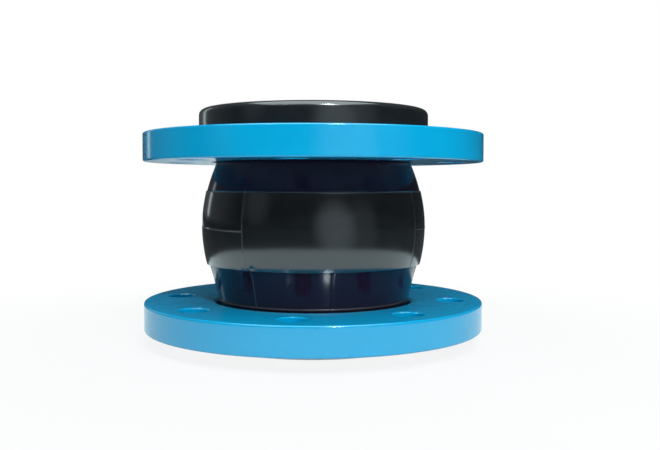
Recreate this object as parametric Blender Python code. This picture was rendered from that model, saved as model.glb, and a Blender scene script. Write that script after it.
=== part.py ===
"""Rubber expansion joint: a single-arch bellows of rubber and cord, with two loose steel flanges.

The joint stands on its lower sealing face, with its axis along +Z and the origin in the middle of that
face. Heights are measured from the equator, the middle of the arch, and every turned piece is drawn as
an outline of (radius, height) points. The upper flange has slid down onto the shoulder of the arch. The
lower flange rests on the back of the lower lip.
"""

import math

import bmesh
import bpy

MM = 0.001

# Driving dimensions: the pipe and the overall length
NOMINAL_BORE = 100 * MM
FACE_TO_FACE = 150 * MM

# The wall, from the bore outwards
TUBE_THICKNESS = 3.6 * MM
PLY_THICKNESS = 0.8 * MM
PLY_COUNT = 4
COVER_THICKNESS = 3.7 * MM

# The arch
ARCH_RISE = 11.0 * MM
BAND_CROWN = 3.1 * MM
BAND_STEP = 0.5 * MM
SHOULDER_HEIGHT = 22.5 * MM

# The sealing lip at each end, and what it holds
LIP_FACE = 3.0 * MM
LIP_BACK = 3.0 * MM
LIP_RIM = 4.05 * MM
LIP_FACE_EDGE = 4.0 * MM
LIP_BACK_EDGE = 1.5 * MM
LIP_MOUTH_EDGE = 1.0 * MM
WRAP_THICKNESS = 1.0 * MM
FILLER_HEIGHT = 2.0 * MM
WIRE_DIAMETER = 2.4 * MM
WIRE_SPACING = 0.4 * MM
WIRE_TURNS = 2
WIRE_CROSSOVER = 0.25

# The flanges
FLANGE_THICKNESS = 18 * MM
FLANGE_EDGE = 1.0 * MM
BORE_EDGE = 1.0 * MM
LIP_STANDOUT = 8.7 * MM
BOLT_COUNT = 8
BOLT_HOLE = 18 * MM
BOLT_LAND = 5.35 * MM
RIM_LAND = 11 * MM
BOLT_ANGLE = math.radians(-7.5)

# Clearances
FIT = 0.3 * MM
LIP_PLAY = 1.0 * MM
BORE_PLAY = 1.6 * MM
NECK_PLAY = 2.3 * MM
WIRE_PLAY = 0.7 * MM
CUTTER_OVERLAP = 5 * MM

# How finely round shapes are drawn
RING_STEPS = 36
EDGE_STEPS = 3
BAND_STEPS = 6
HOLE_STEPS = 16
WIRE_STEPS = 20
WIRE_SIDES_SETTING = 1

# Radii of the neck's layers
BORE_RADIUS = NOMINAL_BORE / 2
TUBE_RADIUS = BORE_RADIUS + TUBE_THICKNESS
PLY_PITCH = PLY_THICKNESS + FIT
CARCASS_RADIUS = TUBE_RADIUS + PLY_COUNT * PLY_PITCH
NECK_RADIUS = CARCASS_RADIUS + FIT + COVER_THICKNESS

# The lip, built up from the bead wire it holds
WIRE_PITCH = WIRE_DIAMETER + WIRE_SPACING
BEAD_INNER = CARCASS_RADIUS + FIT
WIRE_INNER = BEAD_INNER + WRAP_THICKNESS + FIT + WIRE_PLAY + WIRE_DIAMETER / 2
WIRE_OUTER = WIRE_INNER + WIRE_TURNS * WIRE_PITCH
BEAD_OUTER = WIRE_OUTER + WIRE_DIAMETER / 2 + WIRE_PLAY + FIT + WRAP_THICKNESS
LIP_RADIUS = BEAD_OUTER + FIT + LIP_RIM
BEAD_HEIGHT = WRAP_THICKNESS + FIT + WIRE_PITCH + WIRE_DIAMETER + FIT + FILLER_HEIGHT
LIP_HEIGHT = LIP_FACE + FIT + BEAD_HEIGHT + FIT + LIP_BACK

# The flanges, built outwards from the lip that they hold
RECESS_DEPTH = LIP_HEIGHT + FIT - LIP_STANDOUT
RECESS_RADIUS = LIP_RADIUS + LIP_PLAY
FLANGE_BORE_RADIUS = NECK_RADIUS + BORE_PLAY
BOLT_RADIUS = RECESS_RADIUS + BOLT_LAND + BOLT_HOLE / 2
FLANGE_RADIUS = BOLT_RADIUS + BOLT_HOLE / 2 + RIM_LAND

# Heights above the equator
FACE = FACE_TO_FACE / 2
LIP_BACK_FACE = FACE - LIP_HEIGHT
COVER_END = LIP_BACK_FACE - FIT
CARCASS_END = FACE - LIP_FACE - FIT
NECK_START = COVER_END - (FLANGE_THICKNESS - RECESS_DEPTH) - NECK_PLAY
BAND_EDGE = NECK_START - SHOULDER_HEIGHT

# The arch's radii
EQUATOR_RADIUS = NECK_RADIUS + ARCH_RISE
BAND_EDGE_RADIUS = EQUATOR_RADIUS - BAND_CROWN
SHOULDER_RADIUS = BAND_EDGE_RADIUS - BAND_STEP
SHOULDER_START = BAND_EDGE + BAND_STEP

# Where the flanges rest: the upper one on the shoulder, the lower one on its lip
SHOULDER_SLOPE = (NECK_START - SHOULDER_START) / (SHOULDER_RADIUS - NECK_RADIUS)
UPPER_FLANGE_BASE = NECK_START - (BORE_PLAY - FIT) * SHOULDER_SLOPE - BORE_EDGE
SEATED_FLANGE_BASE = LIP_BACK_FACE - FIT - (FLANGE_THICKNESS - RECESS_DEPTH)

# Each neck bends where it leaves a seated flange
BEND_HEIGHT = SEATED_FLANGE_BASE

# Colours, as linear red, green and blue
RUBBER_BLACK = (0.012, 0.013, 0.015)
LINER_BLACK = (0.020, 0.020, 0.021)
CORD_TAN = (0.42, 0.33, 0.20)
FILLER_GREY = (0.035, 0.035, 0.038)
WIRE_BRASS = (0.55, 0.42, 0.22)
ENAMEL_BLUE = (0.006, 0.300, 0.560)


def clear_scene():
    for old in list(bpy.data.objects):
        bpy.data.objects.remove(old, do_unlink=True)


def make_material(name, colour, roughness, metallic):
    material = bpy.data.materials.new(name)
    material.use_nodes = True
    shader = material.node_tree.nodes["Principled BSDF"]
    shader.inputs["Base Color"].default_value = (*colour, 1)
    shader.inputs["Roughness"].default_value = roughness
    shader.inputs["Metallic"].default_value = metallic
    return material


def make_empty(name, height, parent=None):
    """An empty on the axis, this far above the equator, that carries the pieces of one body."""
    empty = bpy.data.objects.new(name, None)
    bpy.context.collection.objects.link(empty)
    empty["height"] = height
    empty.parent = parent
    base = parent["height"] if parent else -FACE
    empty.location.z = height - base
    return empty


def place(name, data, material, parent):
    """Puts a shape drawn from the equator under the empty of its body."""
    piece = bpy.data.objects.new(name, data)
    bpy.context.collection.objects.link(piece)
    piece.parent = parent
    piece.location.z = -parent["height"]
    data.materials.append(material)
    return piece


def turned_mesh(name, outline):
    """The ring that a closed outline of (radius, height) points sweeps round the axis."""
    shape = bmesh.new()
    corners = [shape.verts.new((radius, 0, height)) for radius, height in outline]
    edges = [shape.edges.new((a, b)) for a, b in zip(corners, corners[1:] + corners[:1])]
    bmesh.ops.spin(
        shape,
        geom=corners + edges,
        cent=(0, 0, 0),
        axis=(0, 0, 1),
        angle=2 * math.pi,
        steps=RING_STEPS,
        use_merge=True,
    )
    bmesh.ops.recalc_face_normals(shape, faces=shape.faces[:])
    mesh = bpy.data.meshes.new(name)
    shape.to_mesh(mesh)
    shape.free()
    mesh.shade_smooth()
    mesh.set_sharp_from_angle(angle=math.radians(25))
    return mesh


def turned(name, outline, material, parent):
    return place(name, turned_mesh(name, outline), material, parent)


def rounded(centre, radius, start, end):
    """Points along an arc in the outline's plane, from the start angle to the end angle in degrees."""
    points = []
    for step in range(EDGE_STEPS + 1):
        angle = math.radians(start + (end - start) * step / EDGE_STEPS)
        points.append((centre[0] + radius * math.cos(angle), centre[1] + radius * math.sin(angle)))
    return points


def flipped(outline, side):
    """The outline as drawn for the upper end, or turned over for the lower one."""
    return [(radius, side * height) for radius, height in outline]


def wall_line(inset, end):
    """One face of a wall layer, this far inside the wall's outer line, from the top end to the bottom."""
    half = [
        (NECK_RADIUS, end),
        (NECK_RADIUS, NECK_START),
        (SHOULDER_RADIUS, BAND_EDGE),
        (EQUATOR_RADIUS - BAND_STEP, 0),
    ]
    line = half + flipped(half[-2::-1], -1)
    return [(radius - inset, height) for radius, height in line]


def make_layer(name, outer_inset, thickness, end, material, parent):
    outside = wall_line(outer_inset, end)
    inside = wall_line(outer_inset + thickness, end)
    return turned(name, outside + inside[::-1], material, parent)


def make_cover(material, parent):
    """The outer rubber: straight necks, conical shoulders and a crowned band that stands proud of them."""
    crown_radius = (BAND_EDGE**2 + BAND_CROWN**2) / (2 * BAND_CROWN)
    band = []
    for step in range(BAND_STEPS + 1):
        height = BAND_EDGE * (1 - 2 * step / BAND_STEPS)
        drop = crown_radius - math.sqrt(crown_radius**2 - height**2)
        band.append((EQUATOR_RADIUS - drop, height))
    shoulder = [(NECK_RADIUS, COVER_END), (NECK_RADIUS, NECK_START), (SHOULDER_RADIUS, SHOULDER_START)]
    outside = shoulder + band + flipped(shoulder[::-1], -1)
    inside = wall_line(COVER_THICKNESS, COVER_END)
    return turned("outer_cover", outside + inside[::-1], material, parent)


def make_lip(name, side, material, parent):
    """A sealing lip: a channel open towards the neck, with its face, rim and back round the bead."""
    channel_top = FACE - LIP_FACE
    channel_base = LIP_BACK_FACE + LIP_BACK
    outline = [(BORE_RADIUS, channel_top), (BORE_RADIUS, FACE - LIP_MOUTH_EDGE)]
    outline += [(BORE_RADIUS + LIP_MOUTH_EDGE, FACE)]
    outline += rounded((LIP_RADIUS - LIP_FACE_EDGE, FACE - LIP_FACE_EDGE), LIP_FACE_EDGE, 90, 0)
    outline += [(LIP_RADIUS, LIP_BACK_FACE + LIP_BACK_EDGE), (LIP_RADIUS - LIP_BACK_EDGE, LIP_BACK_FACE)]
    outline += [(BEAD_INNER, LIP_BACK_FACE), (BEAD_INNER, channel_base)]
    outline += [(LIP_RADIUS - LIP_RIM, channel_base), (LIP_RADIUS - LIP_RIM, channel_top)]
    return turned(name, flipped(outline, side), material, parent)


def make_wrap(name, side, material, parent):
    """The turned-up cord fabric: a channel over the bead wire, open towards the back of the lip."""
    top = CARCASS_END
    base = LIP_BACK_FACE + LIP_BACK + FIT
    outer = [(BEAD_INNER, base), (BEAD_INNER, top), (BEAD_OUTER, top), (BEAD_OUTER, base)]
    inner = [
        (BEAD_OUTER - WRAP_THICKNESS, base),
        (BEAD_OUTER - WRAP_THICKNESS, top - WRAP_THICKNESS),
        (BEAD_INNER + WRAP_THICKNESS, top - WRAP_THICKNESS),
        (BEAD_INNER + WRAP_THICKNESS, base),
    ]
    return turned(name, flipped(outer + inner, side), material, parent)


def make_filler(name, side, material, parent):
    base = LIP_BACK_FACE + LIP_BACK + FIT
    inner = BEAD_INNER + WRAP_THICKNESS + FIT
    outer = BEAD_OUTER - WRAP_THICKNESS - FIT
    outline = [(inner, base), (inner, base + FILLER_HEIGHT), (outer, base + FILLER_HEIGHT), (outer, base)]
    return turned(name, flipped(outline, side), material, parent)


def make_bead_wire(name, side, material, parent):
    """One steel wire wound outwards in the layer next to the face and back inwards in a second layer."""
    first_layer = CARCASS_END - WRAP_THICKNESS - FIT - WIRE_DIAMETER / 2
    curve = bpy.data.curves.new(name, "CURVE")
    curve.dimensions = "3D"
    curve.bevel_depth = WIRE_DIAMETER / 2
    curve.bevel_resolution = WIRE_SIDES_SETTING
    curve.use_fill_caps = True
    count = 2 * WIRE_TURNS * WIRE_STEPS
    spline = curve.splines.new("POLY")
    spline.points.add(count)
    for step, point in enumerate(spline.points):
        turns = step / WIRE_STEPS
        radius = WIRE_OUTER - WIRE_PITCH * abs(WIRE_TURNS - turns)
        crossover = min(max((turns - WIRE_TURNS) / WIRE_CROSSOVER + 0.5, 0), 1)
        height = side * (first_layer - WIRE_PITCH * crossover)
        angle = 2 * math.pi * turns
        point.co = (radius * math.cos(angle), radius * math.sin(angle), height, 1)
    return place(name, curve, material, parent)


def make_bolt_cutters(name, base, side, parent):
    """One cylinder for each bolt hole, joined as a single guide object that stays out of the model."""
    shape = bmesh.new()
    depth = FLANGE_THICKNESS + 2 * CUTTER_OVERLAP
    for hole in range(BOLT_COUNT):
        angle = BOLT_ANGLE + 2 * math.pi * hole / BOLT_COUNT
        made = bmesh.ops.create_cone(
            shape,
            cap_ends=True,
            segments=HOLE_STEPS,
            radius1=BOLT_HOLE / 2,
            radius2=BOLT_HOLE / 2,
            depth=depth,
        )
        middle = side * (base + FLANGE_THICKNESS / 2)
        offset = (BOLT_RADIUS * math.cos(angle), BOLT_RADIUS * math.sin(angle), middle)
        bmesh.ops.translate(shape, verts=made["verts"], vec=offset)
    mesh = bpy.data.meshes.new(name)
    shape.to_mesh(mesh)
    shape.free()
    cutter = bpy.data.objects.new(name, mesh)
    bpy.context.collection.objects.link(cutter)
    cutter.parent = parent
    cutter.location.z = -parent["height"]
    cutter.hide_render = True
    cutter.display_type = "WIRE"
    return cutter


def make_flange(name, base, side, material, parent):
    """A loose flange: a plate with a recess for the lip in its outer face and a ring of bolt holes."""
    top = base + FLANGE_THICKNESS
    outline = [
        (FLANGE_BORE_RADIUS + BORE_EDGE, base),
        (FLANGE_RADIUS - FLANGE_EDGE, base),
        (FLANGE_RADIUS, base + FLANGE_EDGE),
        (FLANGE_RADIUS, top - FLANGE_EDGE),
        (FLANGE_RADIUS - FLANGE_EDGE, top),
        (RECESS_RADIUS + BORE_EDGE, top),
        (RECESS_RADIUS, top - BORE_EDGE),
        (RECESS_RADIUS, top - RECESS_DEPTH),
        (FLANGE_BORE_RADIUS, top - RECESS_DEPTH),
        (FLANGE_BORE_RADIUS, base + BORE_EDGE),
    ]
    flange = turned(name, flipped(outline, side), material, parent)
    holes = flange.modifiers.new("bolt_holes", "BOOLEAN")
    holes.operation = "DIFFERENCE"
    holes.solver = "EXACT"
    holes.object = make_bolt_cutters(name + "_cutters", base, side, parent)
    return flange


def make_end(end, side, body, materials):
    """The pieces that stay together at one end of the joint: the lip and the bead inside it."""
    make_lip(end + "_lip", side, materials["rubber"], body)
    make_wrap(end + "_bead_wrap", side, materials["cord"], body)
    make_bead_wire(end + "_bead_wire", side, materials["wire"], body)
    make_filler(end + "_bead_filler", side, materials["filler"], body)


def make_carcass(lower_carcass, upper_carcass, materials):
    """The wall of the arch: the tube, the plies in pairs, and the cover over them."""
    tube_inset = NECK_RADIUS - TUBE_RADIUS
    make_layer("inner_tube", tube_inset, TUBE_THICKNESS, CARCASS_END, materials["liner"], lower_carcass)
    for ply in range(PLY_COUNT):
        outer_radius = TUBE_RADIUS + (ply + 1) * PLY_PITCH
        body = lower_carcass if ply < PLY_COUNT / 2 else upper_carcass
        name = "ply_" + str(ply + 1)
        make_layer(name, NECK_RADIUS - outer_radius, PLY_THICKNESS, CARCASS_END, materials["cord"], body)
    make_cover(materials["rubber"], upper_carcass)


def make_joint():
    materials = {
        "rubber": make_material("moulded_rubber", RUBBER_BLACK, 0.35, 0.0),
        "liner": make_material("liner_rubber", LINER_BLACK, 0.50, 0.0),
        "cord": make_material("rubbered_cord", CORD_TAN, 0.85, 0.0),
        "filler": make_material("hard_rubber", FILLER_GREY, 0.60, 0.0),
        "wire": make_material("bead_wire", WIRE_BRASS, 0.35, 1.0),
        "enamel": make_material("blue_enamel", ENAMEL_BLUE, 0.30, 0.0),
    }
    lower_end = make_empty("lower_end", -FACE)
    lower_carcass = make_empty("lower_carcass", -BEND_HEIGHT, lower_end)
    upper_carcass = make_empty("upper_carcass", 0, lower_carcass)
    upper_end = make_empty("upper_end", BEND_HEIGHT, upper_carcass)
    lower_turn = make_empty("lower_flange_turn", -SEATED_FLANGE_BASE - FLANGE_THICKNESS / 2, lower_end)
    upper_turn = make_empty("upper_flange_turn", UPPER_FLANGE_BASE + FLANGE_THICKNESS / 2, upper_end)
    make_end("lower", -1, lower_end, materials)
    make_end("upper", 1, upper_end, materials)
    make_carcass(lower_carcass, upper_carcass, materials)
    make_flange("lower_flange", SEATED_FLANGE_BASE, -1, materials["enamel"], lower_turn)
    make_flange("upper_flange", UPPER_FLANGE_BASE, 1, materials["enamel"], upper_turn)


clear_scene()
make_joint()
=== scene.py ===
"""The looks of a rubber expansion joint: two blue enamelled flanges round a black moulded bellows.

The frame is in metres, standing on the lower sealing face with the axis along +Z. Heights called rises
are measured from the equator of the arch. The wall is flexible, so each of its layers is made as three
bands that meet at the edges of the middle band.
"""

import math

import bmesh
import bpy
from mathutils import Matrix, Vector, noise


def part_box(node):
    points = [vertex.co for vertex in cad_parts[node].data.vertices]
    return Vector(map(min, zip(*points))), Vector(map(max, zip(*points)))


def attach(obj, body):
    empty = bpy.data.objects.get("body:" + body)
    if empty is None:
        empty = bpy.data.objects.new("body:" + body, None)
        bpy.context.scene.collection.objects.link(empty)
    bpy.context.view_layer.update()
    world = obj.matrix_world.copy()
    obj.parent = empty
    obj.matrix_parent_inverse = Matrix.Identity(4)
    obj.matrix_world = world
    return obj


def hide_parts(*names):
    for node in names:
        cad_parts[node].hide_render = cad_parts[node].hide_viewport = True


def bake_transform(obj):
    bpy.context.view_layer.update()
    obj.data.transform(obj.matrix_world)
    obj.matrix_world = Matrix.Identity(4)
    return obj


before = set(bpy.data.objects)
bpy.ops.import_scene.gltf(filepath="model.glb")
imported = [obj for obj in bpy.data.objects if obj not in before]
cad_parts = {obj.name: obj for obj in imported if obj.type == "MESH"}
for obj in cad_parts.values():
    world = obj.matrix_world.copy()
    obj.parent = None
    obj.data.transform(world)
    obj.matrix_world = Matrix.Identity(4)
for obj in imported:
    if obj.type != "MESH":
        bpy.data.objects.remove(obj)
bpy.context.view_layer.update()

MM = 0.001

# The arch
EQUATOR = 75 * MM
NECK_RADIUS = 62 * MM
COVER_END = 59.3 * MM
CARCASS_END = 71.7 * MM
UPPER_EDGE = 22.7 * MM
LOWER_EDGE = -24.6 * MM
BEND_END = 40 * MM

# The layers of the wall, as insets from its outer line
COVER_INSET = 3.7 * MM
PLY_INSETS = [7.3 * MM, 6.2 * MM, 5.1 * MM, 4.0 * MM]
PLY_THICKNESS = 0.8 * MM
LINER_INSET = 8.4 * MM
LINER_THICKNESS = 3.6 * MM

# The outer line of the wall, as rise and radius, the same above and below the equator
WALL_LINE = [
    (0 * MM, 72.5 * MM),
    (8 * MM, 72.1 * MM),
    (15 * MM, 71.2 * MM),
    (20 * MM, 70.25 * MM),
    (24 * MM, 69.2 * MM),
    (30 * MM, 67.2 * MM),
    (36 * MM, 65.25 * MM),
    (41 * MM, 63.6 * MM),
    (44 * MM, 62.6 * MM),
    (46 * MM, 62.12 * MM),
    (48 * MM, 62 * MM),
    (72 * MM, 62 * MM),
]

# The cover's three outer lines, as rise and radius
LOWER_LINE = [
    (-59.3 * MM, 62 * MM),
    (-56 * MM, 62.03 * MM),
    (-53 * MM, 62.2 * MM),
    (-50 * MM, 62.5 * MM),
    (-48 * MM, 62.76 * MM),
    (-46 * MM, 63.05 * MM),
    (-44 * MM, 63.42 * MM),
    (-40 * MM, 64.25 * MM),
    (-37 * MM, 64.9 * MM),
    (-34 * MM, 65.6 * MM),
    (-32 * MM, 66.1 * MM),
    (-30 * MM, 66.64 * MM),
    (-28 * MM, 67.23 * MM),
    (-26 * MM, 67.87 * MM),
    (-24.6 * MM, 68.35 * MM),
]
MIDDLE_LINE = [
    (-24.6 * MM, 69.84 * MM),
    (-24.5 * MM, 69.93 * MM),
    (-24.3 * MM, 69.99 * MM),
    (-22 * MM, 70.6 * MM),
    (-18 * MM, 71.42 * MM),
    (-12 * MM, 72.3 * MM),
    (-6 * MM, 72.83 * MM),
    (0 * MM, 73 * MM),
    (6 * MM, 72.8 * MM),
    (12 * MM, 72.18 * MM),
    (18 * MM, 71.16 * MM),
    (21.8 * MM, 70.3 * MM),
    (22.5 * MM, 70.05 * MM),
    (22.7 * MM, 69.75 * MM),
]
UPPER_LINE = [
    (22.7 * MM, 69.6 * MM),
    (27 * MM, 68.4 * MM),
    (32 * MM, 66.8 * MM),
    (37 * MM, 64.95 * MM),
    (41 * MM, 63.5 * MM),
    (44 * MM, 62.55 * MM),
    (46 * MM, 62.12 * MM),
    (48 * MM, 62 * MM),
    (59.3 * MM, 62 * MM),
]

COVER_LINES = {"lower": LOWER_LINE, "middle": MIDDLE_LINE, "upper": UPPER_LINE}

# The bands of the wall: lowest and highest rise, the two bodies each joins, and where it bends between them
BANDS = {
    "lower": (-CARCASS_END, LOWER_EDGE, "lower_end", "lower_carcass", -BEND_END, LOWER_EDGE),
    "middle": (LOWER_EDGE, UPPER_EDGE, "lower_carcass", "upper_carcass", LOWER_EDGE, UPPER_EDGE),
    "upper": (UPPER_EDGE, CARCASS_END, "upper_carcass", "upper_end", UPPER_EDGE, BEND_END),
}

# Marks that the mould leaves on the cover: azimuths in degrees, where -90 faces the camera
PARTING_RISE = -0.9 * MM
CREASE_RISE = 22.1 * MM
FLASH_RISE = 47.3 * MM
PANELS = [(-125.4, -31.0), (54.6, 149.0)]
PANEL_EDGES = [edge for panel in PANELS for edge in panel]
WITNESSES = [-123.0, 57.0]
SEAMS = [-80.5, 99.5]
PIPS = [(-121.4, -23.0 * MM, -0.35 * MM), (-129.7, -26.0 * MM, 0.30 * MM)]
PIP_RADIUS = 1.2 * MM
FLASH_HEIGHT = 0.45 * MM
LINE_WIDTH = 0.50 * MM
LINE_SHARE = 0.36
SEAM_DEPTH = 0.16 * MM
PANEL_SINK = 0.12 * MM
RIPPLE = 0.05 * MM
RIPPLE_LENGTH = 22 * MM

# The sealing lips
LIP_BORE = 50 * MM
LIP_RADIUS = 74.65 * MM
LIP_HEIGHT = 15.4 * MM
LIP_FACE_EDGE = 4 * MM
LIP_BACK_EDGE = 1.5 * MM
LIP_MOUTH_EDGE = 1.2 * MM
LIP_CHANNEL = (3 * MM, 12.4 * MM)
LIP_CHANNEL_RADIUS = 70.6 * MM
LIP_THROAT = 58.3 * MM
GROOVES = [57.5 * MM, 61.5 * MM, 65.5 * MM]
GROOVE_WIDTH = 0.8 * MM
GROOVE_DEPTH = 0.35 * MM
GROOVE_STEPS = [-1, -0.7, -0.35, 0, 0.35, 0.7, 1]

# The flanges
FLANGE_RADIUS = 110 * MM
FLANGE_BORE = 63.6 * MM
FLANGE_RECESS = 75.65 * MM
RECESS_DEPTH = 7 * MM
RIM_EDGE = 1.1 * MM
RECESS_EDGE = 1.0 * MM
BORE_EDGE = 4.0 * MM
SUPPORT = 0.5 * MM
BOLT_CIRCLE = 90 * MM
BOLT_HOLE = 9 * MM
BOLT_CHAMFER = 0.7 * MM
BOLT_COUNT = 8
BOLT_ANGLE = math.radians(-7.5)
CUTTER_REACH = 3 * MM

# How finely the shapes are drawn
COLUMNS = 240
RING_COLUMNS = 192
PLY_COLUMNS = 96
ROW_STEP = 1.6 * MM
PLY_ROW_STEP = 3.2 * MM
ROW_GAP = 0.03 * MM
LINE_STEPS = [-2.6, -1.7, -1.1, -0.55, 0, 0.55, 1.1, 1.7, 2.6]
EDGE_STEPS = 7
HOLE_STEPS = 40
SMOOTH_ANGLE = math.radians(32)

# Where the camera stands and how it looks
CAMERA_PLACE = (0, -0.5426, 0.1012)
CAMERA_DOWN = 0.0482
CAMERA_RIGHT = 0.0199
CAMERA_ROLL = 0.0017
CAMERA_LENS = 44.77
SENSOR_WIDTH = 36
NEAREST_VIEW = 0.01

# Colours, as linear red, green and blue
ENAMEL_BLUE = (0.000, 0.355, 0.635, 1)
ENAMEL_DEEP = (0.000, 0.300, 0.575, 1)
ENAMEL_DUST = (0.250, 0.480, 0.620, 1)
BAND_BLACK = (0.0070, 0.0086, 0.0100, 1)
BAND_BLOOM = (0.0110, 0.0130, 0.0145, 1)
# The shoulders' black is tinted purple: a painted reflection tint that turns their reflection of the blue
# flanges navy
SHOULDER_BLACK = (0.0135, 0.0058, 0.0160, 1)
SHOULDER_BLOOM = (0.0160, 0.0082, 0.0185, 1)
LIP_BLACK = (0.0075, 0.0088, 0.0104, 1)
LIP_BLOOM = (0.0105, 0.0120, 0.0140, 1)
LINER_BLACK = (0.020, 0.020, 0.021, 1)
LINER_BLOOM = (0.034, 0.034, 0.034, 1)
CORD_TAN = (0.42, 0.33, 0.20, 1)
CORD_GUM = (0.10, 0.07, 0.04, 1)
HARD_GREY = (0.035, 0.035, 0.038, 1)
HARD_BLOOM = (0.055, 0.055, 0.056, 1)
WIRE_BRONZE = (0.55, 0.42, 0.22, 1)
WIRE_DULL = (0.34, 0.24, 0.13, 1)
# Paler colour for the moulded lines and flash: a painted highlight where they catch the light
LINE_HIGHLIGHT = (0.050, 0.053, 0.056, 1)
FLOOR_WHITE = (0.56, 0.58, 0.59, 1)
PAPER_WHITE = (1, 1, 1, 1)
GLOSS_SHEET_GLOW = (0.78, 0.95, 1, 1)
ROOM_COOL = (0.80, 0.93, 1, 1)
ROOM_BLACK = (0, 0, 0, 1)
SOFTBOX_COOL = (0.84, 0.98, 1.0)
KEY_COOL = (0.82, 0.92, 1.0)
FRONT_WARM = (1.0, 1.0, 0.88)
FILL_WHITE = (1, 1, 1)

# The floor: gloss sees a cool glowing sheet under the joint, a dim floor round it and white again far
# behind; these glow as a painted reflection, not lit paper
FLOOR_REACH = 12.0
FLOOR_LEVEL = -0.1 * MM
FLOOR_GLARE = 0.95
SHEET_EDGE = (0.279, 0.313)
FAR_EDGE = (1.2, 2.0)
FAR_LEFT = (-1.0, -0.7)
FAR_RIGHT = (0.5, -0.4)
SHADOW_REACH = (0.15, 0.40)
SHADOW_SHARE = 0.12

# The dim room, and its faint lights: the direction, brightness and spread in degrees of each
ROOM_DIM = 0.03
CEILING_LIGHT = 0.08
CEILING_RISE = (0.1, 0.9)
ROOM_LIGHTS = [
    ((0.350, -0.936, 0.020), 0.42, 25),
    ((0.740, -0.670, 0.040), 0.12, 22),
    ((-0.840, -0.480, 0.250), 0.12, 18),
]
LIGHTER_WALL = ((-0.80, 0.60, 0), 0.075, 50)

# The lamps: place, width and height in metres, then watts and tint; gloss shows the first group only
SHOWN_LAMPS = {
    "softbox": ((-0.04, -0.35, 1.30), 1.75, 1.50, 19.2, SOFTBOX_COOL),
    "key": ((0.71, -2.42, 2.11), 0.26, 0.26, 50.0, KEY_COOL),
    "left_spot": ((-1.30, -2.24, 2.02), 0.16, 0.16, 2.8, KEY_COOL),
    "left_strip": ((-0.80, 0.75, 0.37), 0.11, 0.55, 0.20, SOFTBOX_COOL),
}
FILL_LAMPS = {
    "front_fill": ((0.35, -0.75, 1.30), 0.70, 0.70, 6.0, FRONT_WARM),
    "right_fill": ((0.90, -0.90, 0.60), 0.60, 0.60, 2.2, FILL_WHITE),
    "back_fill": ((0.20, 1.10, 0.70), 0.60, 0.60, 4.5, FILL_WHITE),
}


class Value:
    """A shader tree and one of its sockets; arithmetic on it adds Math nodes to the tree."""

    def __init__(self, tree, socket=None):
        self.tree = tree
        self.socket = socket

    def node(self, kind, settings, sockets, output=0):
        """Adds a node: its settings are set first, then each socket takes a number, a colour or a link."""
        made = self.tree.nodes.new(kind)
        for name, setting in settings.items():
            setattr(made, name, setting)
        for key, given in sockets.items():
            if isinstance(given, Value):
                self.tree.links.new(given.socket, made.inputs[key])
            else:
                made.inputs[key].default_value = given
        return Value(self.tree, made.outputs[output])

    def maths(self, operation, first, second):
        return self.node("ShaderNodeMath", {"operation": operation}, {0: first, 1: second})

    def __add__(self, other):
        return self.maths("ADD", self, other)

    def __radd__(self, other):
        return self.maths("ADD", other, self)

    def __sub__(self, other):
        return self.maths("SUBTRACT", self, other)

    def __rsub__(self, other):
        return self.maths("SUBTRACT", other, self)

    def __mul__(self, other):
        return self.maths("MULTIPLY", self, other)

    def __rmul__(self, other):
        return self.maths("MULTIPLY", other, self)

    def ramp(self, low, high):
        """0 below low, 1 above high and smooth between; with high under low it falls instead."""
        ends = {"Value": self, "From Min": low, "From Max": high}
        return self.node("ShaderNodeMapRange", {"interpolation_type": "SMOOTHSTEP"}, ends)

    def between(self, first, second):
        """A colour that goes from the first to the second as this value goes from 0 to 1."""
        return self.node("ShaderNodeMix", {"data_type": "RGBA"}, {0: self, 6: first, 7: second}, 2)


def new_finish(name):
    """A material and the start of its shader tree, with the object's own place as texture space."""
    material = bpy.data.materials.new(name)
    material.use_nodes = True
    start = Value(material.node_tree)
    place = start.node("ShaderNodeTexCoord", {}, {}, "Object")
    return material, place


def grain(place, size, detail):
    """Noise from 0 to 1 whose lumps are about this size."""
    sockets = {"Vector": place, "Scale": 1 / size, "Detail": detail}
    return place.node("ShaderNodeTexNoise", {"noise_dimensions": "3D"}, sockets)


def set_surface(material, fixed, varying):
    """Fills the material's own shader: plain numbers on its sockets, and links for what varies."""
    shader = material.node_tree.nodes["Principled BSDF"]
    for name, value in fixed.items():
        shader.inputs[name].default_value = value
    for name, value in varying.items():
        material.node_tree.links.new(value.socket, shader.inputs[name])
    return material


def bumped(height, distance, strength):
    sockets = {"Strength": strength, "Distance": distance, "Height": height}
    return height.node("ShaderNodeBump", {}, sockets)


def enamel():
    """Glossy sky-blue enamel, sprayed on: a slight orange peel, a little uneven in shade and gloss."""
    material, place = new_finish("flange_enamel")
    cloud = grain(place, 45 * MM, 3.0).ramp(0.35, 0.70)
    speck = grain(place, 1.3 * MM, 1.0).ramp(0.70, 0.80)
    shade = (0.35 * cloud).between(ENAMEL_BLUE, ENAMEL_DEEP)
    colour = (0.08 * speck).between(shade, ENAMEL_DUST)
    gloss = 0.11 + 0.05 * grain(place, 18 * MM, 4.0)
    peel = grain(place, 2.6 * MM, 2.0) + 0.4 * grain(place, 9 * MM, 1.0)
    fixed = {"Specular IOR Level": 1.0, "Coat Weight": 0.1, "Coat Roughness": 0.06}
    return set_surface(material, fixed, {
        "Base Color": colour,
        "Roughness": gloss,
        "Normal": bumped(peel, 0.05 * MM, 0.08),
    })


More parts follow.
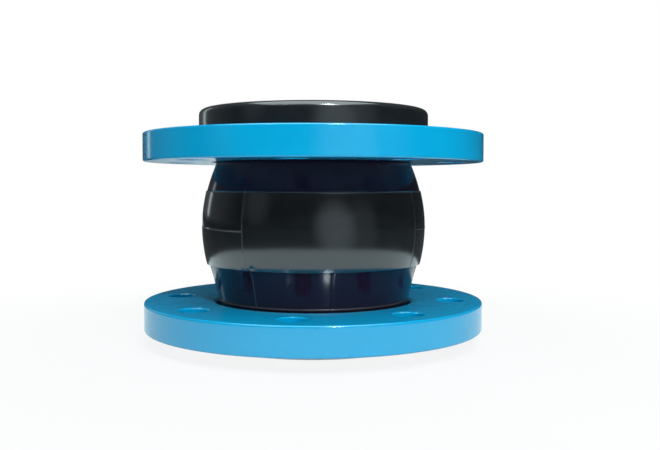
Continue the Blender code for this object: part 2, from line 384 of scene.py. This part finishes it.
def moulded_rubber(name, dark, bloom, roughness, shine, coat):
    """Black rubber from a polished mould: satin, faintly cloudy, with a painted highlight along the moulded
    lines.
    """
    material, place = new_finish(name)
    cloud = grain(place, 16 * MM, 4.0).ramp(0.40, 0.75)
    dust = grain(place, 0.9 * MM, 1.0).ramp(0.66, 0.80)
    line = place.node("ShaderNodeAttribute", {"attribute_name": "mould_line"}, {}, "Fac")
    shade = (0.5 * cloud + 0.2 * dust).between(dark, bloom)
    pale = line.ramp(0, 0.5)
    # Painted highlight: the moulded lines are coloured paler, as if they caught the light
    colour = (pale * (0.7 + 0.3 * cloud)).between(shade, LINE_HIGHLIGHT)
    gloss = roughness + 0.04 * cloud + 0.03 * dust + 0.3 * pale
    skin = grain(place, 0.7 * MM, 2.0)
    fixed = {"Specular IOR Level": shine, "Coat Weight": coat, "Coat Roughness": 0.12}
    return set_surface(material, fixed, {
        "Base Color": colour,
        "Roughness": gloss,
        "Normal": bumped(skin, 0.02 * MM, 0.1),
    })


def cord_fabric():
    """Rubbered tyre cord: tan yarns side by side at a slant, with gum between them."""
    material, place = new_finish("rubbered_cord")
    slanted = place.node(
        "ShaderNodeMapping",
        {"vector_type": "TEXTURE"},
        {"Vector": place, "Rotation": (math.radians(35), 0, math.radians(20))},
    )
    yarn = slanted.node(
        "ShaderNodeTexWave",
        {"wave_type": "BANDS", "bands_direction": "Z"},
        {"Vector": slanted, "Scale": 1 / (6 * MM), "Distortion": 0.6, "Detail": 2.0},
    )
    fuzz = grain(place, 0.5 * MM, 3.0)
    colour = (yarn * (0.7 + 0.3 * fuzz)).between(CORD_GUM, CORD_TAN)
    return set_surface(material, {"Specular IOR Level": 0.3}, {
        "Base Color": colour,
        "Roughness": 0.75 + 0.15 * fuzz,
        "Normal": bumped(yarn + 0.2 * fuzz, 0.2 * MM, 0.6),
    })


def hard_rubber():
    material, place = new_finish("hard_rubber")
    cloud = grain(place, 6 * MM, 4.0)
    return set_surface(material, {"Specular IOR Level": 0.5}, {
        "Base Color": cloud.between(HARD_GREY, HARD_BLOOM),
        "Roughness": 0.5 + 0.2 * cloud,
        "Normal": bumped(cloud, 0.1 * MM, 0.4),
    })


def bronzed_wire():
    """Bead wire, drawn and bronzed so that rubber sticks to it."""
    material, place = new_finish("bead_wire")
    tarnish = grain(place, 4 * MM, 4.0).ramp(0.40, 0.70)
    return set_surface(material, {"Metallic": 1.0}, {
        "Base Color": tarnish.between(WIRE_BRONZE, WIRE_DULL),
        "Roughness": 0.28 + 0.2 * tarnish,
        "Normal": bumped(grain(place, 0.4 * MM, 2.0), 0.02 * MM, 0.5),
    })


def faired(line, rise):
    """The radius at this rise on a smooth curve through a line of (rise, radius) points."""
    last = len(line) - 2
    part = max(0, min(last, sum(1 for point in line[1:-1] if point[0] <= rise)))
    (low, start), (high, end) = line[part], line[part + 1]
    slope = (end - start) / (high - low)
    before = line[max(part - 1, 0)]
    after = line[min(part + 2, len(line) - 1)]
    first = (end - before[1]) / (high - before[0]) if part > 0 else slope
    second = (after[1] - start) / (after[0] - low) if part < last else slope
    t = min(1, max(0, (rise - low) / (high - low)))
    span = high - low
    return (
        start * (1 + 2 * t) * (1 - t) ** 2
        + end * t * t * (3 - 2 * t)
        + span * first * t * (1 - t) ** 2
        + span * second * t * t * (t - 1)
    )


def rows_between(low, high, step, lines=()):
    """Rises from low to high about a step apart, closer together at each moulded line."""
    count = max(2, round((high - low) / step))
    rows = [low + (high - low) * row / count for row in range(count + 1)]
    for line in lines:
        near = [line + LINE_WIDTH * place for place in LINE_STEPS]
        rows = [row for row in rows if row in (low, high) or row < near[0] or row > near[-1]]
        rows += [row for row in near if low < row < high]
    return sorted(rows)


def spaced(rows):
    """The rows in order, without any that all but repeats the one before."""
    kept = []
    for row in sorted(rows):
        if not kept or row - kept[-1] > ROW_GAP:
            kept.append(row)
    return kept


def columns_round(count, lines=()):
    """Azimuths round the axis in radians, evenly spaced and closer together at each moulded line."""
    columns = [360 * column / count - 180 for column in range(count)]
    across = math.degrees(LINE_WIDTH / NECK_RADIUS)
    for line in lines:
        near = [line + across * place for place in LINE_STEPS]
        columns = [column for column in columns if column < near[0] or column > near[-1]] + near
    return [math.radians(column) for column in sorted(columns)]


def close_to(distance, width):
    """1 on a line or spot, falling smoothly to nothing over a few widths."""
    return math.exp(-((distance / width) ** 2))


def in_panel(degrees):
    return any(start < degrees < end for start, end in PANELS)


def pip_strength(pip, height, degrees, rise, radius):
    away = math.hypot(math.radians(degrees - pip) * radius, rise - height)
    return close_to(away, PIP_RADIUS)


def line_strength(degrees, rise, radius):
    """How strongly a raised line or pip of the mould shows here: 1 is the flash round each neck."""
    upright = []
    fine = 0
    if LOWER_EDGE <= rise <= UPPER_EDGE:
        upright = PANEL_EDGES
        fine = close_to(rise - CREASE_RISE, LINE_WIDTH)
        if not in_panel(degrees):
            fine += close_to(rise - PARTING_RISE, LINE_WIDTH)
    elif -FLASH_RISE < rise < LOWER_EDGE:
        upright = WITNESSES
    for line in upright:
        fine += close_to(math.radians(degrees - line) * radius, LINE_WIDTH)
    for pip, height, depth in PIPS:
        if depth > 0:
            fine += pip_strength(pip, height, degrees, rise, radius)
    return close_to(abs(rise) - FLASH_RISE, LINE_WIDTH) + LINE_SHARE * min(fine, 1)


def mould_marks(azimuth, rise, radius):
    """How far the cover stands out here: lines, seams, pips, the sunk panels and slight ripples."""
    degrees = math.degrees(azimuth)
    spot = Vector((radius * math.cos(azimuth), radius * math.sin(azimuth), rise)) / RIPPLE_LENGTH
    out = RIPPLE * noise.noise(spot) + FLASH_HEIGHT * line_strength(degrees, rise, radius)
    if LOWER_EDGE <= rise <= UPPER_EDGE and in_panel(degrees):
        out -= PANEL_SINK
    if -FLASH_RISE < rise < LOWER_EDGE:
        for seam in SEAMS:
            out -= SEAM_DEPTH * close_to(math.radians(degrees - seam) * radius, LINE_WIDTH)
    for pip, height, depth in PIPS:
        out += depth * pip_strength(pip, height, degrees, rise, radius)
    return out


def note_lines(piece):
    """Stores on the cover's outer points how strongly a moulded line shows there, for the painted highlight
    along it in the finish.
    """
    shown = piece.data.attributes.new("mould_line", "FLOAT", "POINT")
    for point, value in zip(piece.data.vertices, shown.data):
        radius = math.hypot(point.co.x, point.co.y)
        rise = point.co.z - EQUATOR
        if radius > wall_radius(rise) - COVER_INSET / 2:
            degrees = math.degrees(math.atan2(point.co.y, point.co.x))
            value.value = line_strength(degrees, rise, radius)


def mesh_piece(name, points, faces, material):
    """A piece of the scene from its points and faces, with its faces turned outwards and shaded smooth."""
    mesh = bpy.data.meshes.new(name)
    mesh.from_pydata(points, [], faces)
    shape = bmesh.new()
    shape.from_mesh(mesh)
    bmesh.ops.recalc_face_normals(shape, faces=shape.faces[:])
    shape.to_mesh(mesh)
    shape.free()
    mesh.shade_smooth()
    mesh.set_sharp_from_angle(angle=SMOOTH_ANGLE)
    mesh.materials.append(material)
    piece = bpy.data.objects.new(name, mesh)
    bpy.context.collection.objects.link(piece)
    return piece


def turned(name, outline, columns, material, marks=None, marked=0):
    """Sweeps a closed outline of (radius, height) points round the axis; its first points may bear marks."""
    points = []
    for azimuth in columns:
        for number, (radius, height) in enumerate(outline):
            if marks and number < marked:
                radius += marks(azimuth, height - EQUATOR, radius)
            points.append((radius * math.cos(azimuth), radius * math.sin(azimuth), height))
    size = len(outline)
    faces = []
    for column in range(len(columns)):
        here = column * size
        beyond = (column + 1) % len(columns) * size
        for number in range(size):
            after = (number + 1) % size
            faces.append((here + number, beyond + number, beyond + after, here + after))
    return mesh_piece(name, points, faces, material)


def rounded(centre, radius, start, end):
    """Points along an arc of an outline, from the start angle to the end angle in degrees."""
    points = []
    for step in range(EDGE_STEPS + 1):
        angle = math.radians(start + (end - start) * step / EDGE_STEPS)
        points.append((centre[0] + radius * math.cos(angle), centre[1] + radius * math.sin(angle)))
    return points


def wall_radius(rise):
    return faired(WALL_LINE, abs(rise))


def flex(piece, node):
    """Puts a band of the wall in the place of its CAD node, with its place baked into its points."""
    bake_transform(piece)
    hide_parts(node)


def make_cover(band_finish, shoulder_finish):
    columns = columns_round(COLUMNS, sorted(PANEL_EDGES + WITNESSES + SEAMS))
    for band, (low, high, *_) in BANDS.items():
        low = max(low, -COVER_END)
        high = min(high, COVER_END)
        rows = rows_between(low, high, ROW_STEP, [-FLASH_RISE, PARTING_RISE, CREASE_RISE, FLASH_RISE])
        rows = spaced(rows + [rise for rise, radius in COVER_LINES[band]])
        outside = [(faired(COVER_LINES[band], row), EQUATOR + row) for row in rows]
        inner_rows = rows_between(low, high, PLY_ROW_STEP)
        inside = [(wall_radius(row) - COVER_INSET, EQUATOR + row) for row in reversed(inner_rows)]
        finish = band_finish if band == "middle" else shoulder_finish
        piece = turned("cover_" + band, outside + inside, columns, finish, mould_marks, len(outside))
        note_lines(piece)
        flex(piece, "outer_cover")


def make_layer(name, node, inset, thickness, columns, step, material):
    """One layer of the wall inside the cover, as three bands."""
    for band, (low, high, *_) in BANDS.items():
        rows = rows_between(low, high, step)
        outside = [(wall_radius(row) - inset, EQUATOR + row) for row in rows]
        inside = [(radius - thickness, height) for radius, height in reversed(outside)]
        piece = turned(name + "_" + band, outside + inside, columns, material)
        flex(piece, node)


def make_wall(cord_finish, liner_finish):
    """The plies and the liner inside the cover."""
    for ply, inset in enumerate(PLY_INSETS, start=1):
        name = "ply_" + str(ply)
        columns = columns_round(PLY_COLUMNS)
        make_layer(name, name, inset, PLY_THICKNESS, columns, PLY_ROW_STEP, cord_finish)
    columns = columns_round(RING_COLUMNS)
    make_layer(
        "liner", "inner_tube", LINER_INSET, LINER_THICKNESS, columns, ROW_STEP, liner_finish
    )


def groove(middle):
    """A shallow round-bottomed sealing groove in a lip's face, as radius and depth."""
    half = GROOVE_WIDTH / 2
    return [(middle + half * step, GROOVE_DEPTH * (1 - step * step)) for step in GROOVE_STEPS]


def make_lip(end, face, inward, material):
    """A sealing lip with grooves in its face, drawn by depth below the face."""
    mouth = rounded((LIP_BORE + LIP_MOUTH_EDGE, LIP_MOUTH_EDGE), LIP_MOUTH_EDGE, 180, 270)
    grooves = [point for middle in GROOVES for point in groove(middle)]
    face_edge = rounded((LIP_RADIUS - LIP_FACE_EDGE, LIP_FACE_EDGE), LIP_FACE_EDGE, 270, 360)
    back = LIP_HEIGHT - LIP_BACK_EDGE
    back_edge = rounded((LIP_RADIUS - LIP_BACK_EDGE, back), LIP_BACK_EDGE, 0, 90)
    channel_top, channel_base = LIP_CHANNEL
    channel = [
        (LIP_THROAT, LIP_HEIGHT),
        (LIP_THROAT, channel_base),
        (LIP_CHANNEL_RADIUS, channel_base),
        (LIP_CHANNEL_RADIUS, channel_top),
        (LIP_BORE, channel_top),
    ]
    outline = mouth + grooves + face_edge + back_edge + channel
    points = [(radius, face + inward * depth) for radius, depth in outline]
    lip = turned(end + "_sealing_lip", points, columns_round(RING_COLUMNS), material)
    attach(lip, end + "_end")
    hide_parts(end + "_lip")


def bolt_cutter(low, high, material):
    """One solid with a spool for each bolt hole, wider at both mouths so that it leaves a chamfer."""
    flare = BOLT_HOLE + BOLT_CHAMFER + CUTTER_REACH
    spool = [
        (flare, low - CUTTER_REACH),
        (BOLT_HOLE, low + BOLT_CHAMFER),
        (BOLT_HOLE, high - BOLT_CHAMFER),
        (flare, high + CUTTER_REACH),
    ]
    points = []
    faces = []
    for hole in range(BOLT_COUNT):
        angle = BOLT_ANGLE + math.tau * hole / BOLT_COUNT
        across = BOLT_CIRCLE * math.cos(angle)
        along = BOLT_CIRCLE * math.sin(angle)
        first = len(points)
        for radius, height in spool:
            for step in range(HOLE_STEPS):
                turn = math.tau * step / HOLE_STEPS
                points.append((across + radius * math.cos(turn), along + radius * math.sin(turn), height))
        for ring in range(len(spool) - 1):
            for step in range(HOLE_STEPS):
                here = first + ring * HOLE_STEPS
                beyond = (step + 1) % HOLE_STEPS
                above = here + HOLE_STEPS
                faces.append((here + step, here + beyond, above + beyond, above + step))
        last = first + (len(spool) - 1) * HOLE_STEPS
        faces.append(tuple(first + step for step in reversed(range(HOLE_STEPS))))
        faces.append(tuple(last + step for step in range(HOLE_STEPS)))
    return mesh_piece("bolt_cutter", points, faces, material)


def drill(plate, cutter):
    """Cuts the cutter's shape out of the plate, and then removes the cutter."""
    holes = plate.modifiers.new("bolt_holes", "BOOLEAN")
    holes.operation = "DIFFERENCE"
    holes.solver = "EXACT"
    holes.object = cutter
    graph = bpy.context.evaluated_depsgraph_get()
    drilled = bpy.data.meshes.new_from_object(plate.evaluated_get(graph))
    drilled.shade_smooth()
    drilled.set_sharp_from_angle(angle=SMOOTH_ANGLE)
    plate.modifiers.clear()
    plate.data = drilled
    bpy.data.objects.remove(cutter)


def make_flange(end, inward, material):
    """A loose flange: rounded rim, chamfered bolt holes, and a recess for the lip in its outer face."""
    node = end + "_flange"
    low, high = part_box(node)
    thickness = high.z - low.z
    outer_face = low.z if inward > 0 else high.z
    rim = FLANGE_RADIUS - RIM_EDGE
    recess_mouth = FLANGE_RECESS + RECESS_EDGE
    bore_mouth = FLANGE_BORE + BORE_EDGE
    outline = rounded((recess_mouth, RECESS_EDGE), RECESS_EDGE, 180, 270)
    outline += [(recess_mouth + SUPPORT, 0), (rim - SUPPORT, 0)]
    outline += rounded((rim, RIM_EDGE), RIM_EDGE, 270, 360)
    outline += [(FLANGE_RADIUS, RIM_EDGE + SUPPORT), (FLANGE_RADIUS, thickness - RIM_EDGE - SUPPORT)]
    outline += rounded((rim, thickness - RIM_EDGE), RIM_EDGE, 0, 90)
    outline += [(rim - SUPPORT, thickness), (bore_mouth + SUPPORT, thickness)]
    outline += rounded((bore_mouth, thickness - BORE_EDGE), BORE_EDGE, 90, 180)
    outline += [(FLANGE_BORE, thickness - BORE_EDGE - SUPPORT), (FLANGE_BORE, RECESS_DEPTH)]
    outline += [(FLANGE_RECESS, RECESS_DEPTH)]
    points = [(radius, outer_face + inward * depth) for radius, depth in outline]
    plate = turned(end + "_flange_plate", points, columns_round(RING_COLUMNS), material)
    drill(plate, bolt_cutter(low.z, high.z, material))
    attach(plate, node)
    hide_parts(node)


def refinish(node, material):
    """Gives a CAD node that stays in view a better finish."""
    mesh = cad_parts[node].data
    mesh.materials.clear()
    mesh.materials.append(material)


def glow(way, towards, brightness, spread):
    """A soft round glow in the room, brightest in this direction and nothing beyond its spread."""
    facing = way.node("ShaderNodeVectorMath", {"operation": "DOT_PRODUCT"}, {0: way, 1: towards}, 1)
    return brightness * facing.ramp(math.cos(math.radians(spread)), 1)


def make_floor():
    """A pale floor: the camera sees it white with the joint's shadow, and gloss sees a glowing sheet, a
    painted reflection of paper.
    """
    sides = [(-1, -1), (1, -1), (1, 1), (-1, 1)]
    corners = [(FLOOR_REACH * across, FLOOR_REACH * along, FLOOR_LEVEL) for across, along in sides]
    material = bpy.data.materials.new("white_paper")
    material.use_nodes = True
    tree = material.node_tree
    start = Value(tree)
    camera = start.node("ShaderNodeLightPath", {}, {}, "Is Camera Ray")
    glossy = start.node("ShaderNodeLightPath", {}, {}, "Is Glossy Ray")
    through = start.node("ShaderNodeLightPath", {}, {}, "Is Transmission Ray")
    spot = start.node("ShaderNodeNewGeometry", {}, {}, "Position")
    away = spot.node("ShaderNodeVectorMath", {"operation": "LENGTH"}, {0: spot}, 1)
    behind = spot.node("ShaderNodeSeparateXYZ", {}, {"Vector": spot}, "Y").ramp(*FAR_EDGE)
    side = spot.node("ShaderNodeSeparateXYZ", {}, {"Vector": spot}, "X")
    far_white = behind * side.ramp(*FAR_LEFT) * side.ramp(*FAR_RIGHT)
    lift = spot.node("ShaderNodeVectorMath", {"operation": "SUBTRACT"}, {0: spot, 1: (0, 0, EQUATOR)})
    way = lift.node("ShaderNodeVectorMath", {"operation": "NORMALIZE"}, {0: lift})
    bright = ROOM_DIM + sum(glow(way, *light) for light in ROOM_LIGHTS)
    paper = start.node("ShaderNodeBsdfDiffuse", {}, {"Color": FLOOR_WHITE})
    white = start.node("ShaderNodeEmission", {}, {"Color": PAPER_WHITE, "Strength": 1.0})
    cool = start.node("ShaderNodeEmission", {}, {"Color": GLOSS_SHEET_GLOW, "Strength": 1.0})
    dark = start.node("ShaderNodeEmission", {}, {"Color": ROOM_BLACK, "Strength": 0.0})
    lit = bright + (1 - bright) * far_white
    beyond = away.ramp(*SHEET_EDGE) * (1 - lit)
    # Gloss sees an emission sheet: a glow for the joint to reflect, not paper lit by the lamps
    sheet = start.node("ShaderNodeMixShader", {}, {0: beyond, 1: cool, 2: dark})
    share = camera * (1 - SHADOW_SHARE + SHADOW_SHARE * away.ramp(*SHADOW_REACH))
    seen = start.node("ShaderNodeMixShader", {}, {0: share, 1: paper, 2: white})
    both = start.node("ShaderNodeMixShader", {}, {0: FLOOR_GLARE * (glossy + through), 1: seen, 2: sheet})
    tree.links.new(both.socket, tree.nodes["Material Output"].inputs["Surface"])
    mesh_piece("floor", corners, [(0, 1, 2, 3)], material)


def make_world():
    """A dim room, lighter on the left, with faint lights to reflect; the camera itself sees white."""
    world = bpy.data.worlds.new("studio")
    world.use_nodes = True
    bpy.context.scene.world = world
    tree = world.node_tree
    start = Value(tree)
    camera = start.node("ShaderNodeLightPath", {}, {}, "Is Camera Ray")
    way = start.node("ShaderNodeTexCoord", {}, {}, "Generated")
    up = way.node("ShaderNodeSeparateXYZ", {}, {"Vector": way}, "Z").ramp(*CEILING_RISE)
    lights = sum(glow(way, *light) for light in ROOM_LIGHTS)
    room = ROOM_DIM + CEILING_LIGHT * up + glow(way, *LIGHTER_WALL) + lights
    dark = start.node("ShaderNodeBackground", {}, {"Color": ROOM_BLACK, "Strength": 1.0})
    cool = start.node("ShaderNodeBackground", {}, {"Color": ROOM_COOL, "Strength": 1.0})
    white = start.node("ShaderNodeBackground", {}, {"Color": PAPER_WHITE, "Strength": 1.0})
    walls = start.node("ShaderNodeMixShader", {}, {0: room, 1: dark, 2: cool})
    both = start.node("ShaderNodeMixShader", {}, {0: camera, 1: walls, 2: white})
    tree.links.new(both.socket, tree.nodes["World Output"].inputs["Surface"])


def make_lamp(name, place, width, height, watts, tint, shown):
    """A soft rectangular lamp that points from its place at the middle of the arch."""
    light = bpy.data.lights.new(name, "AREA")
    light.shape = "RECTANGLE"
    light.size = width
    light.size_y = height
    light.energy = watts
    light.color = tint
    lamp = bpy.data.objects.new(name, light)
    bpy.context.collection.objects.link(lamp)
    lamp.location = place
    lamp.rotation_euler = (Vector((0, 0, EQUATOR)) - Vector(place)).to_track_quat("-Z", "Y").to_euler()
    lamp.visible_glossy = shown
    lamp.visible_camera = False


def make_lamps():
    for name, lamp in SHOWN_LAMPS.items():
        make_lamp(name, *lamp, True)
    for name, lamp in FILL_LAMPS.items():
        make_lamp(name, *lamp, False)


def make_camera():
    data = bpy.data.cameras.new("camera")
    data.lens = CAMERA_LENS
    data.sensor_width = SENSOR_WIDTH
    data.clip_start = NEAREST_VIEW
    camera = bpy.data.objects.new("camera", data)
    bpy.context.collection.objects.link(camera)
    turn = Matrix.Rotation(-CAMERA_RIGHT, 4, "Z")
    tilt = Matrix.Rotation(math.pi / 2 - CAMERA_DOWN, 4, "X")
    roll = Matrix.Rotation(CAMERA_ROLL, 4, "Z")
    camera.matrix_world = Matrix.Translation(CAMERA_PLACE) @ turn @ tilt @ roll
    bpy.context.scene.camera = camera


def make_joint():
    blue = enamel()
    band = moulded_rubber("band_rubber", BAND_BLACK, BAND_BLOOM, roughness=0.14, shine=1.0, coat=0.8)
    shoulder = moulded_rubber(
        "shoulder_rubber", SHOULDER_BLACK, SHOULDER_BLOOM, roughness=0.12, shine=0.30, coat=0.05
    )
    lip = moulded_rubber("lip_rubber", LIP_BLACK, LIP_BLOOM, roughness=0.22, shine=1.0, coat=1.0)
    liner = moulded_rubber("liner_rubber", LINER_BLACK, LINER_BLOOM, roughness=0.42, shine=0.5, coat=0.0)
    cord = cord_fabric()
    make_cover(band, shoulder)
    make_wall(cord, liner)
    make_lip("lower", 0, 1, lip)
    make_lip("upper", 2 * EQUATOR, -1, lip)
    make_flange("lower", 1, blue)
    make_flange("upper", -1, blue)
    hard = hard_rubber()
    wire = bronzed_wire()
    for end in ("lower", "upper"):
        refinish(end + "_bead_wrap", cord)
        refinish(end + "_bead_filler", hard)
        refinish(end + "_bead_wire", wire)


make_camera()
make_joint()
make_floor()
make_world()
make_lamps()
bpy.context.scene.view_settings.view_transform = "Standard"
